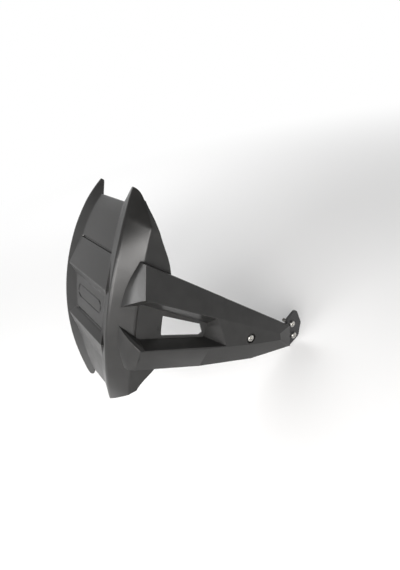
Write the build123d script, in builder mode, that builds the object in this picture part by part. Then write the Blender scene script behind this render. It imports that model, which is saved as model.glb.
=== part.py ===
from build123d import *
import os
from math import acos, atan2, copysign, cos, hypot, radians, sin, tan
from typing import NamedTuple

# Rear hugger mudguard of a motorbike, as it is mounted: +X is the bike's right, +Y forward and +Z up
# The origin is on the seat of the stay, midway between the two mounting screws

# Wheel axle, measured from the seat
AXLE_INBOARD = 102.0
AXLE_FORWARD = 35.0
AXLE_ABOVE = 26.0

# Guard wall and its ends, as angles about the axle measured up from straight back
WALL = 3.0
BEND_EASE = 2.6
BEND_EASE_LIMIT = 0.3
CHANNEL_TOP = 50.8
CHANNEL_TOP_HALF = 33.0
HORN_ROOT = 48.0
HORN_TOP = 53.7
HORN_INNER_HALF = 41.5
CHANNEL_FOOT = 4.5
CHANNEL_FOOT_HALF = 21.0
RAIL_FOOT = 2.2
RAIL_FOOT_INNER_HALF = 29.0
RAIL_FOOT_OUTER_HALF = 37.0
SIDE_FOOT = 6.8
SIDE_FOOT_HALF = 80.0

# Raised plates in the channel: where each starts, where it stands highest and where its bevel ends
UPPER_PLATE_START = 40.0
UPPER_PLATE_CREST = 32.5
UPPER_PLATE_END = 30.3
UPPER_PLATE_HALF = 63.0
UPPER_PLATE_RISE = 7.2
LOWER_PLATE_START = 22.0
LOWER_PLATE_CREST = 19.8
LOWER_PLATE_END = 14.2
LOWER_PLATE_HALF = 58.0
LOWER_PLATE_RISE = 8.0
PLATE_SINK = 0.4
PLATE_ROOT = 2.0
PLATE_TOE = 2.5
GROOVE_WIDTH = 2.6
GROOVE_DEPTH = 1.8

# Plain moulded frame between the plates
FRAME_ANGLE = 27.0
FRAME_LENGTH = 78.0
FRAME_HEIGHT = 19.0
FRAME_LINE = 2.4
FRAME_DEPTH = 1.0

# Arm: its root on the guard, its fall towards the axle and its outer face's height over the stay
ARM_ROOT_OUT = 95.5
ARM_ROOT_BACK = 274.0
ARM_ROOT_UP = 140.0
ARM_FALL = 37.6
ARM_OVER_STAY = 7.0
ARM_OUTER_HEIGHT = 8.5
ARM_INNER_DEPTH = 11.0
ARM_LAND = 1.2
STRUT_END_DEPTH = 9.0
STRUT_LAP = 6.0
CLAW_COVER = 3.0
HOLLOW_DRAFT = 1.0

# Recess of the arm: its depth, where its front facet meets either edge and how far it runs past the root
RECESS_FLOOR_DEPTH = 7.5
RECESS_FRONT_TOP = 118.0
RECESS_FRONT_FOOT = 150.0
RECESS_RUNOUT = 3.0

# Stay plate
STAY_THICKNESS = 4.0
STAY_CLEARANCE = 0.4
STAY_FINGER_RADIUS = 12.0
STAY_CORNER_RADIUS = 6.0

# Screws, and the arm screw's seat, washer and nut
THREAD_RADIUS = 3.0
SHANK_RADIUS = 2.7
HOLE_CLEARANCE = 0.2
HEAD_RADIUS = 5.25
HEAD_HEIGHT = 3.3
HEAD_ROUND = 1.4
SOCKET_RADIUS = 2.3
SOCKET_DEPTH = 2.0
MOUNT_SPACING = 24.0
MOUNT_THREAD = 14.0
ARM_SCREW_BACK = 124.0
ARM_SCREW_UP = 21.5
BOSS_RADIUS = 9.5
SEAT_RADIUS = 7.6
SEAT_FLOOR = 2.6
WASHER_RADIUS = 7.2
WASHER_THICKNESS = 1.2
NUT_RADIUS = 5.8
NUT_HEIGHT = 5.0
NUT_THREAD_GAP = 0.05
ARM_SCREW_PAST_NUT = 1.0


class Section(NamedTuple):
    """One section of the guard: half width and radius at the channel floor, crest, corner and panel edge."""

    angle: float
    floor: tuple[float, float]
    crest: tuple[float, float]
    corner: tuple[float, float]
    edge: tuple[float, float]


SECTIONS = [
    Section(-1.0, (17.0, 320.0), (30.0, 324.0), (74.0, 312.0), (75.0, 309.0)),
    Section(4.0, (20.0, 320.0), (44.0, 324.5), (78.0, 311.0), (79.5, 308.0)),
    Section(8.0, (26.5, 320.0), (53.5, 325.0), (81.0, 309.5), (83.2, 296.0)),
    Section(12.0, (33.0, 320.0), (61.0, 325.8), (84.0, 306.0), (87.0, 270.0)),
    Section(18.0, (39.0, 319.5), (68.0, 327.0), (86.0, 301.5), (88.5, 262.0)),
    Section(24.0, (44.5, 320.0), (71.5, 328.0), (86.5, 299.0), (88.5, 261.0)),
    Section(31.0, (48.0, 321.5), (73.0, 328.8), (86.5, 298.5), (88.5, 261.0)),
    Section(38.0, (47.5, 324.2), (70.8, 330.3), (86.5, 301.0), (88.5, 260.5)),
    Section(42.0, (45.8, 326.0), (68.0, 331.5), (86.5, 304.0), (88.5, 270.5)),
    Section(HORN_ROOT, (38.7, 327.9), (60.2, 333.6), (85.5, 310.5), (87.0, 299.0)),
    Section(50.0, (35.2, 328.0), (56.2, 334.3), (75.5, 315.0), (77.5, 307.0)),
    Section(52.0, (31.5, 328.0), (51.5, 334.8), (64.0, 322.0), (66.0, 317.0)),
    Section(55.0, (27.0, 328.0), (44.5, 335.0), (48.5, 332.0), (49.5, 330.0)),
]

AXLE = Vector(-AXLE_INBOARD, AXLE_FORWARD, AXLE_ABOVE)

# Cutting shapes reach past what they cut by the guard's width
cut_reach = 2 * max(section.edge[0] for section in SECTIONS)


def from_wheel(x, y, z):
    """Gives the place of a point measured from the wheel's centre."""
    return AXLE + Vector(x, y, z)


def outwards(angle):
    """Gives the direction straight out from the axle at an angle."""
    return Vector(0, -cos(radians(angle)), sin(radians(angle)))


def section_plane(angle):
    """Gives the plane through the axle at an angle, with its y pointing outwards."""
    return Plane(AXLE, x_dir=(1, 0, 0), z_dir=(0, -sin(radians(angle)), -cos(radians(angle))))


def skin_plane(angle, radius):
    """Gives the plane that lies on the guard at an angle, with its y pointing up along the guard."""
    return Plane(AXLE + outwards(angle) * radius, x_dir=(1, 0, 0), z_dir=outwards(angle))


def section_at(angle):
    """Gives the guard's section at any angle, in a straight line between the listed ones."""
    for low, high in zip(SECTIONS, SECTIONS[1:]):
        if low.angle <= angle <= high.angle:
            break
    share = (angle - low.angle) / (high.angle - low.angle)
    mixed = []
    for a, b in zip(low[1:], high[1:]):
        mixed.append(tuple(p + (q - p) * share for p, q in zip(a, b)))
    return Section(angle, *mixed)


def inner_line(points):
    """Gives the line one wall inside a line of points that runs from right to left over the guard."""
    normals = []
    for (x0, r0), (x1, r1) in zip(points, points[1:]):
        length = hypot(x1 - x0, r1 - r0)
        normals.append(((r0 - r1) / length, (x1 - x0) / length))
    pairs = zip([normals[0]] + normals, normals + [normals[-1]])
    line = []
    for (x, r), ((ax, ar), (bx, br)) in zip(points, pairs):
        scale = WALL / (1 + ax * bx + ar * br)
        line.append((x + (ax + bx) * scale, r + (ar + br) * scale))
    return line


def eased_line(points):
    """Gives a line with each of its bends cut back on both sides, which leaves a narrow flat there."""
    line = [points[0]]
    for before, bend, after in zip(points, points[1:], points[2:]):
        for x, r in (before, after):
            side = hypot(x - bend[0], r - bend[1])
            share = min(BEND_EASE / side, BEND_EASE_LIMIT)
            line.append((bend[0] + (x - bend[0]) * share, bend[1] + (r - bend[1]) * share))
    return line + [points[-1]]


def section_outline(section):
    """Gives the closed outline of the guard's wall at one section."""
    right = [section.edge, section.corner, section.crest, section.floor]
    outer = eased_line(right + [(-x, r) for x, r in reversed(right)])
    return outer + inner_line(outer)[::-1]


def plate_outline(angle, half, rise):
    """Gives a raised plate's outline at an angle: a bar that fills the channel and laps its sloping sides."""
    section = section_at(angle)
    (floor_half, floor_radius), (crest_half, crest_radius) = section.floor, section.crest
    share = (half - floor_half) / (crest_half - floor_half)
    slope_radius = floor_radius + (crest_radius - floor_radius) * share
    right = [
        (floor_half, floor_radius - PLATE_ROOT),
        (half, slope_radius - PLATE_ROOT),
        (half, floor_radius + rise),
    ]
    return right + [(-x, r) for x, r in reversed(right)]


def up_the_skin(from_angle, to_angle, radius):
    """Gives the height on the skin plane at one angle of a point at another."""
    return radius * tan(radians(to_angle - from_angle))


def along(start, end, x):
    """Gives the height at x on the line through two points."""
    return start[1] + (end[1] - start[1]) * (x - start[0]) / (end[0] - start[0])


# Arm frame: x runs from the guard to the axle, y up across the arm and z outwards
# It splays so that the arm's outer face passes over the stay at its height there
arm_fall = radians(ARM_FALL)
down_the_arm = Vector(0, cos(arm_fall), -sin(arm_fall))
arm_root = from_wheel(ARM_ROOT_OUT, -ARM_ROOT_BACK, ARM_ROOT_UP)
arm_screw_place = (AXLE_FORWARD - ARM_SCREW_BACK, AXLE_ABOVE + ARM_SCREW_UP)
root_to_screw = Vector(STAY_THICKNESS + ARM_OVER_STAY, *arm_screw_place) - arm_root
run = root_to_screw.dot(down_the_arm)
arm_splay = acos(ARM_OUTER_HEIGHT / hypot(run, root_to_screw.X)) - atan2(run, root_to_screw.X)
arm_x = down_the_arm * cos(arm_splay) + Vector(1, 0, 0) * sin(arm_splay)
arm_z = Vector(1, 0, 0) * cos(arm_splay) - down_the_arm * sin(arm_splay)
ARM = Plane(arm_root, x_dir=arm_x, z_dir=arm_z)
ARM_OUTSIDE = ARM.offset(ARM_OUTER_HEIGHT)

# Arm outlines: the rim that its facets start from and the flat that they rise to
ARM_RIM = [(-3, 72), (277, 21), (296, -13), (215, -37.5), (120, -51), (23, -58)]
ARM_FLAT = [(4, 34), (250, 9.5), (257, -1), (205, -10), (120, -21.5), (16.8, -30)]

# Recess between the arm's two struts, at its mouth and at its floor, and the window through the floor
RECESS_MOUTH = [
    (ARM_FLAT[0][0], ARM_FLAT[0][1] - ARM_LAND),
    (RECESS_FRONT_TOP, along(ARM_FLAT[0], ARM_FLAT[1], RECESS_FRONT_TOP) - ARM_LAND),
    (RECESS_FRONT_FOOT, along(ARM_FLAT[4], ARM_FLAT[3], RECESS_FRONT_FOOT) + ARM_LAND),
    (ARM_FLAT[5][0], ARM_FLAT[5][1] + ARM_LAND),
]
RECESS_FLOOR = [(5, 22), (115, 7.6), (115, -10.2), (13, -19.7)]
WINDOW = [(44, 12), (39.5, -3.5), (51, -14), (109, -9), (113, -5), (105, 6.5)]

# Rear ends of the struts, which taper over the guard's outer face: places measured from the wheel's centre
UPPER_CLAW = [(78.5, -273.7, 157.2), (80, -261, 175.1), (82, -251.4, 185.6), (85, -234.1, 200.7)]
LOWER_CLAW = [(78, -283.9, 137.3), (79, -292.3, 120.4), (82, -297.1, 101.3), (84, -299.4, 83.2)]

# Stay's tab, measured forwards and up from the seat
STAY_TAB = [(14, 33), (21, 2), (12, -21), (-9, -27), (-22, -14), (-6, 26)]


def run_out(points):
    """Gives a recess outline with its two back points drawn out past the arm's end, along its sides."""
    high_back, high_front, low_front, low_back = points
    high_x = high_back[0] - RECESS_RUNOUT
    low_x = low_back[0] - RECESS_RUNOUT
    return [
        (high_x, along(high_back, high_front, high_x)),
        high_front,
        low_front,
        (low_x, along(low_back, low_front, low_x)),
    ]


def claw_points(on_guard, back, front):
    """Gives a claw's corners: its line on the guard's face, and where it laps the end of a strut.

    The strut's edges run from the outlines' back points to their front ones. The claw also fills the recess
    beside the strut, which is cut out of both afterwards.
    """
    inwards = -copysign(CLAW_COVER, ARM_RIM[back][1])
    corners = []
    for outline, height, shift in (
        (ARM_RIM, 0, 0),
        (ARM_RIM, -STRUT_END_DEPTH, 0),
        (ARM_FLAT, ARM_OUTER_HEIGHT, 0),
        (ARM_FLAT, ARM_OUTER_HEIGHT, inwards),
        (RECESS_FLOOR, -STRUT_END_DEPTH, inwards),
    ):
        for x in (outline[back][0], outline[back][0] + STRUT_LAP):
            corners.append((x, along(outline[back], outline[front], x) + shift, height))
    on_face = [from_wheel(*place) for place in on_guard]
    return on_face + [ARM.from_local_coords(corner) for corner in corners]


# Guard by itself, lofted and then trimmed at both ends
with BuildPart() as guard:
    below_horns = [section for section in SECTIONS if section.angle <= HORN_ROOT]
    horns = [section for section in SECTIONS if section.angle >= HORN_ROOT]
    for stretch in (below_horns, horns):
        for section in stretch:
            with BuildSketch(section_plane(section.angle)):
                with BuildLine():
                    Polyline(*section_outline(section), close=True)
                make_face()
        loft()

    # Space between the horns, and the ends of the horns
    top_radius = section_at(CHANNEL_TOP).floor[1]
    horn_top = up_the_skin(CHANNEL_TOP, HORN_TOP, top_radius)
    top_line = [
        (CHANNEL_TOP_HALF, 0),
        (HORN_INNER_HALF, horn_top),
        (cut_reach, horn_top),
        (cut_reach, cut_reach),
    ]
    with BuildSketch(skin_plane(CHANNEL_TOP, top_radius)):
        with BuildLine():
            Polyline(*top_line, *[(-x, y) for x, y in reversed(top_line)], close=True)
        make_face()
    extrude(amount=cut_reach, both=True, mode=Mode.SUBTRACT)

    # Foot of the channel, the rails' feet and the slant up to the side panels
    foot_radius = section_at(CHANNEL_FOOT).floor[1]
    rail_foot = up_the_skin(CHANNEL_FOOT, RAIL_FOOT, foot_radius)
    side_foot = up_the_skin(CHANNEL_FOOT, SIDE_FOOT, foot_radius)
    slant_start = (RAIL_FOOT_OUTER_HALF, rail_foot)
    foot_line = [
        (CHANNEL_FOOT_HALF, 0),
        (RAIL_FOOT_INNER_HALF, rail_foot),
        slant_start,
        (cut_reach, along(slant_start, (SIDE_FOOT_HALF, side_foot), cut_reach)),
        (cut_reach, -cut_reach),
    ]
    with BuildSketch(skin_plane(CHANNEL_FOOT, foot_radius)):
        with BuildLine():
            Polyline(*foot_line, *[(-x, y) for x, y in reversed(foot_line)], close=True)
        make_face()
    extrude(amount=cut_reach, both=True, mode=Mode.SUBTRACT)

    # Raised plates: each climbs from the channel floor to its crest and falls back in a bevel
    for start, crest, end, crest_half, rise in (
        (UPPER_PLATE_START, UPPER_PLATE_CREST, UPPER_PLATE_END, UPPER_PLATE_HALF, UPPER_PLATE_RISE),
        (LOWER_PLATE_START, LOWER_PLATE_CREST, LOWER_PLATE_END, LOWER_PLATE_HALF, LOWER_PLATE_RISE),
    ):
        start_half, start_radius = section_at(start).floor
        end_half = section_at(end).floor[0]
        for angle, half, height in (
            (start, start_half + PLATE_TOE, -PLATE_SINK),
            (crest, crest_half, rise),
            (end, end_half + PLATE_TOE, -PLATE_SINK),
        ):
            with BuildSketch(section_plane(angle)):
                with BuildLine():
                    Polyline(*plate_outline(angle, half, height), close=True)
                make_face()
        loft(ruled=True)
        with BuildSketch(section_plane(start)):
            with Locations((0, start_radius)):
                Rectangle(2 * start_half, 2 * GROOVE_DEPTH)
        extrude(amount=GROOVE_WIDTH / 2, both=True, mode=Mode.SUBTRACT)

    # Plain moulded frame
    with BuildSketch(skin_plane(FRAME_ANGLE, section_at(FRAME_ANGLE).floor[1])):
        SlotOverall(FRAME_LENGTH, FRAME_HEIGHT)
        SlotOverall(FRAME_LENGTH - 2 * FRAME_LINE, FRAME_HEIGHT - 2 * FRAME_LINE, mode=Mode.SUBTRACT)
    extrude(amount=FRAME_DEPTH, both=True, mode=Mode.SUBTRACT)

# Arm as a solid form with its claws, and the recess in them
with BuildPart() as arm_form:
    with BuildSketch(ARM) as arm_rim:
        Polygon(*ARM_RIM, align=None)
    extrude(amount=-ARM_INNER_DEPTH)
    with BuildSketch(ARM):
        add(arm_rim.sketch_local)
    with BuildSketch(ARM_OUTSIDE):
        Polygon(*ARM_FLAT, align=None)
    loft(ruled=True)
    ConvexPolyhedron(claw_points(UPPER_CLAW, back=0, front=1))
    ConvexPolyhedron(claw_points(LOWER_CLAW, back=-1, front=-2))
    with BuildSketch(ARM.offset(-RECESS_FLOOR_DEPTH)):
        Polygon(*run_out(RECESS_FLOOR), align=None)
    with BuildSketch(ARM_OUTSIDE):
        Polygon(*run_out(RECESS_MOUTH), align=None)
    loft(ruled=True, mode=Mode.SUBTRACT)

# Hollow of the arm, which follows its form one wall inside and stays clear of the recess
with BuildPart() as arm_hollow:
    with BuildSketch(ARM.offset(-WALL)) as hollow_rim:
        Polygon(*ARM_RIM, align=None)
        offset(amount=-WALL, kind=Kind.INTERSECTION, mode=Mode.REPLACE)
    extrude(amount=WALL - 2 * ARM_INNER_DEPTH)
    with BuildSketch(ARM.offset(-WALL)):
        add(hollow_rim.sketch_local)
    with BuildSketch(ARM.offset(ARM_OUTER_HEIGHT - WALL)):
        Polygon(*ARM_FLAT, align=None)
        offset(amount=-HOLLOW_DRAFT, kind=Kind.INTERSECTION, mode=Mode.REPLACE)
    loft(ruled=True)
    for height, outline in (
        (-2 * ARM_INNER_DEPTH, RECESS_FLOOR),
        (-RECESS_FLOOR_DEPTH, RECESS_FLOOR),
        (ARM_OUTER_HEIGHT, RECESS_MOUTH),
    ):
        with BuildSketch(ARM.offset(height)):
            Polygon(*run_out(outline), align=None)
            offset(amount=WALL, kind=Kind.INTERSECTION, mode=Mode.REPLACE)
    loft(ruled=True, mode=Mode.SUBTRACT)

# Stay plate: a tab for the mounting screws and a finger inside the arm
SEAT = Plane((0, 0, 0), x_dir=(0, 1, 0), z_dir=(1, 0, 0))
STAY_FACE = SEAT.offset(STAY_THICKNESS)
finger_middle = (arm_screw_place[0] / 2, arm_screw_place[1] / 2)
mount_places = [(0, MOUNT_SPACING / 2), (0, -MOUNT_SPACING / 2)]
hole_radius = THREAD_RADIUS + HOLE_CLEARANCE

with BuildPart() as stay_plate:
    with BuildSketch(SEAT) as stay_outline:
        Polygon(*STAY_TAB, align=None)
        SlotCenterPoint(finger_middle, arm_screw_place, 2 * STAY_FINGER_RADIUS)
        fillet(stay_outline.vertices().group_by(Axis.X)[-3:], radius=STAY_CORNER_RADIUS)
    extrude(amount=STAY_THICKNESS)
    with BuildSketch(SEAT):
        with Locations(*mount_places, arm_screw_place):
            Circle(hole_radius)
    extrude(amount=STAY_THICKNESS, mode=Mode.SUBTRACT)

# Guard moulding as one piece: guard and arm, hollowed and fitted over the stay
SCREW_SEAT = STAY_FACE.offset(SEAT_FLOOR)
boss_height = ARM_OVER_STAY - WALL / 2

with BuildPart() as guard_moulding:
    add(guard.part)
    add(arm_form.part)
    add(arm_hollow.part, mode=Mode.SUBTRACT)

    # Window through the recess floor
    with BuildSketch(ARM):
        Polygon(*WINDOW, align=None)
    extrude(amount=-2 * ARM_INNER_DEPTH, mode=Mode.SUBTRACT)

    # Slot that lets the stay in from the inside
    with BuildSketch(STAY_FACE):
        add(stay_outline.sketch_local)
        offset(amount=STAY_CLEARANCE, mode=Mode.REPLACE)
    extrude(amount=-cut_reach, mode=Mode.SUBTRACT)

    # Boss that stands on the stay, with the arm screw's seat and hole
    with BuildSketch(STAY_FACE):
        with Locations(arm_screw_place):
            Circle(BOSS_RADIUS)
    extrude(amount=boss_height)
    with BuildSketch(SCREW_SEAT):
        with Locations(arm_screw_place):
            Circle(SEAT_RADIUS)
    extrude(amount=cut_reach, mode=Mode.SUBTRACT)
    with BuildSketch(STAY_FACE):
        with Locations(arm_screw_place):
            Circle(hole_radius)
    extrude(amount=SEAT_FLOOR, mode=Mode.SUBTRACT)

# Cup washer on the arm screw's seat
with BuildPart() as cup_washer:
    with BuildSketch(SCREW_SEAT):
        with Locations(arm_screw_place):
            Circle(WASHER_RADIUS)
            Circle(hole_radius, mode=Mode.SUBTRACT)
    extrude(amount=WASHER_THICKNESS)


def button_screws(under_head, places, shank, thread):
    """Makes socket button screws under their heads' plane, each with a plain shank and then its thread."""
    with BuildPart() as screws:
        with BuildSketch(under_head):
            with Locations(*places):
                Circle(HEAD_RADIUS)
        extrude(amount=HEAD_HEIGHT)
        fillet(screws.edges().filter_by(GeomType.CIRCLE).group_by(Axis.X)[-1], radius=HEAD_ROUND)
        with BuildSketch(under_head.offset(HEAD_HEIGHT)):
            with Locations(*places):
                RegularPolygon(SOCKET_RADIUS, 6)
        extrude(amount=-SOCKET_DEPTH, mode=Mode.SUBTRACT)
        with BuildSketch(under_head):
            with Locations(*places):
                Circle(SHANK_RADIUS)
        extrude(amount=-shank)
        with BuildSketch(under_head.offset(-shank)):
            with Locations(*places):
                Circle(THREAD_RADIUS)
        extrude(amount=-thread)
    return screws


# Arm screw through washer, moulding, stay and nut, and the two screws that mount the stay
arm_screw = button_screws(
    SCREW_SEAT.offset(WASHER_THICKNESS),
    [arm_screw_place],
    shank=WASHER_THICKNESS + SEAT_FLOOR + STAY_THICKNESS,
    thread=NUT_HEIGHT + ARM_SCREW_PAST_NUT,
)
mount_screws = button_screws(STAY_FACE, mount_places, shank=STAY_THICKNESS, thread=MOUNT_THREAD)

# Nut on the back of the stay
with BuildPart() as arm_nut:
    with BuildSketch(SEAT):
        with Locations(arm_screw_place):
            RegularPolygon(NUT_RADIUS, 6)
            Circle(THREAD_RADIUS + NUT_THREAD_GAP, mode=Mode.SUBTRACT)
    extrude(amount=-NUT_HEIGHT)

os.makedirs("parts", exist_ok=True)
guard_moulding.part.label = "guard_moulding"
export_step(guard_moulding.part, "parts/guard_moulding.step")
stay_plate.part.label = "stay_plate"
export_step(stay_plate.part, "parts/stay_plate.step")
cup_washer.part.label = "cup_washer"
export_step(cup_washer.part, "parts/cup_washer.step")
arm_screw.part.label = "arm_screw"
export_step(arm_screw.part, "parts/arm_screw.step")
arm_nut.part.label = "arm_nut"
export_step(arm_nut.part, "parts/arm_nut.step")
mount_screws.part.label = "mount_screws"
export_step(mount_screws.part, "parts/mount_screws.step")
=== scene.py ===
import logging
from dataclasses import dataclass, field
from enum import Enum

import bmesh
import bpy
import numpy as np
from mathutils import Matrix, Vector


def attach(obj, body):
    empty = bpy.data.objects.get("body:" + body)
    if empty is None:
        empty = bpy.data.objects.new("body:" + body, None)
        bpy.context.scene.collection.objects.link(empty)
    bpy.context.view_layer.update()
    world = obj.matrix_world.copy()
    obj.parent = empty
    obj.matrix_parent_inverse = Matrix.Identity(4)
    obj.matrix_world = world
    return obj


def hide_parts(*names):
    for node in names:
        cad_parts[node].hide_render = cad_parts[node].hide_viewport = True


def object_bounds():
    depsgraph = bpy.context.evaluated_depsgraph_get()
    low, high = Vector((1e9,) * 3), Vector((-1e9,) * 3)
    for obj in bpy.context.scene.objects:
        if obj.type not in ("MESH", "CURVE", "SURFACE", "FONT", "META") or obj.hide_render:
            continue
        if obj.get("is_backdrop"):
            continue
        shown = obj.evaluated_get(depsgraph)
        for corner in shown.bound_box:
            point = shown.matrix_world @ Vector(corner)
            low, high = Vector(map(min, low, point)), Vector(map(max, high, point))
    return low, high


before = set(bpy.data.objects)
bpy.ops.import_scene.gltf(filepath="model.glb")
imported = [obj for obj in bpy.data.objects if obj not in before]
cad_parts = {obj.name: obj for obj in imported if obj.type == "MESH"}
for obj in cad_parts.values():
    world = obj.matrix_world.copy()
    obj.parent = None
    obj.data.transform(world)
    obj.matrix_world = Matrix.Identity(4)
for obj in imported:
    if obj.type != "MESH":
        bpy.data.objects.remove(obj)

log = logging.getLogger("hugger")

# Metres in a millimetre: sizes below are in millimetres unless their class says otherwise
MM = 0.001

# Points that lie closer than this are one point
MERGE_DISTANCE = 1e-4

# Edges that turn by more degrees than this are shaded as creases
SHARP_ANGLE = 38.0

# Section of a thread's trough: a wedge of this peak and slope, cut flat at the full depth
TROUGH_PEAK = 1.5
TROUGH_SLOPE = 3.2

# The guard's centre in the part's frame, which its angles and radii are measured from
CENTRE = np.array([-102.0, 35.0, 26.0])


def smooth_step(low: float, high: float, value: np.ndarray) -> np.ndarray:
    """Rises from 0 at low to 1 at high along 3t^2 - 2t^3.

    Args:
        low: where the rise starts.
        high: where the rise ends.
        value: where to take it.

    Returns:
        The share risen, from 0 to 1.
    """
    t = np.clip((value - low) / (high - low), 0.0, 1.0)
    return t * t * (3.0 - 2.0 * t)


def soft_max(a: np.ndarray, b: np.ndarray, width: float) -> np.ndarray:
    """Gives the larger of two heights, eased over a width where they cross."""
    return 0.5 * (a + b + np.sqrt((a - b) ** 2 + width**2))


def unit(vectors: np.ndarray) -> np.ndarray:
    """Gives vectors scaled to length 1."""
    return vectors / np.linalg.norm(vectors, axis=-1, keepdims=True)


def toward(start: np.ndarray, end: np.ndarray, distance: float, limit: float = 0.4) -> np.ndarray:
    """Gives the points some way from start towards end.

    Args:
        start: points to leave from.
        end: points to head for.
        distance: how far to go.
        limit: largest share of the way that is gone.

    Returns:
        The points reached.
    """
    way = end - start
    length = np.linalg.norm(way, axis=-1, keepdims=True)
    return start + way * np.minimum(distance / length, limit)


def ring_faces(rows: int, columns: int) -> np.ndarray:
    """Gives the quads between closed rings: each ring's last point joins its first.

    Args:
        rows: number of rings.
        columns: points in a ring.

    Returns:
        Point numbers of the quads, four in a row.
    """
    row, column = np.meshgrid(np.arange(rows - 1), np.arange(columns), indexing="ij")
    after = (column + 1) % columns
    near, far = row * columns, (row + 1) * columns
    quads = [near + column, near + after, far + after, far + column]
    return np.stack(quads, axis=-1).reshape(-1, 4)


def closed_form(points: np.ndarray, faces: list[list[int]]) -> bmesh.types.BMesh:
    """Makes a closed form from points and faces, with its doubles merged and its faces outwards.

    Args:
        points: places in millimetres, three numbers in a row.
        faces: point numbers of each face.

    Returns:
        The form, in millimetres.
    """
    mesh = bpy.data.meshes.new("form")
    mesh.from_pydata(points.tolist(), [], faces)
    form = bmesh.new()
    form.from_mesh(mesh)
    bpy.data.meshes.remove(mesh)
    bmesh.ops.remove_doubles(form, verts=form.verts, dist=MERGE_DISTANCE)
    bmesh.ops.recalc_face_normals(form, faces=form.faces)
    return form


def sharp_edges(form: bmesh.types.BMesh, angle: float) -> list[bmesh.types.BMEdge]:
    """Gives the edges of a form that turn by more than an angle in degrees."""
    return [edge for edge in form.edges if edge.calc_face_angle(0.0) > np.radians(angle)]


def round_edges(form: bmesh.types.BMesh, edges: list[bmesh.types.BMEdge], width: float, steps: int) -> None:
    """Rounds some of a form's edges.

    Args:
        form: the form to change.
        edges: the edges to round.
        width: how far from the edge the rounding starts.
        steps: faces across the rounding.
    """
    bmesh.ops.bevel(
        form,
        geom=edges,
        offset=width,
        offset_type="OFFSET",
        segments=steps,
        profile=0.5,
        affect="EDGES",
        clamp_overlap=True,
    )


def new_piece(name: str, forms: list[bmesh.types.BMesh], nodes: list[str]) -> bpy.types.Object:
    """Makes one piece of the part from closed forms, in place of CAD nodes.

    Args:
        name: the piece's name.
        forms: its closed forms, in millimetres, which are used up.
        nodes: the CAD nodes that it stands for.

    Returns:
        The piece, which rides on the part's one body.
    """
    whole = bmesh.new()
    for form in forms:
        step = bpy.data.meshes.new("step")
        form.to_mesh(step)
        form.free()
        whole.from_mesh(step)
        bpy.data.meshes.remove(step)
    bmesh.ops.scale(whole, vec=(MM, MM, MM), verts=whole.verts)
    mesh = bpy.data.meshes.new(name)
    whole.to_mesh(mesh)
    whole.free()
    mesh.shade_smooth()
    mesh.set_sharp_from_angle(angle=np.radians(SHARP_ANGLE))
    piece = bpy.data.objects.new(name, mesh)
    bpy.context.scene.collection.objects.link(piece)
    weighted = piece.modifiers.new("even_flats", "WEIGHTED_NORMAL")
    weighted.keep_sharp = True
    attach(piece, "root")
    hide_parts(*nodes)
    log.info("%s: %d faces", name, len(mesh.polygons))
    return piece


@dataclass(frozen=True)
class Station:
    """One section of the guard: its angle in degrees, then half width and radius of its four lines."""

    angle: float
    floor: tuple[float, float]
    crest: tuple[float, float]
    corner: tuple[float, float]
    edge: tuple[float, float]


@dataclass(frozen=True)
class Plate:
    """One raised plate across the channel.

    It has the angles of its start, crest and end, and its half width and rise at the crest.
    """

    start: float
    crest: float
    end: float
    half: float
    rise: float


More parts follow.
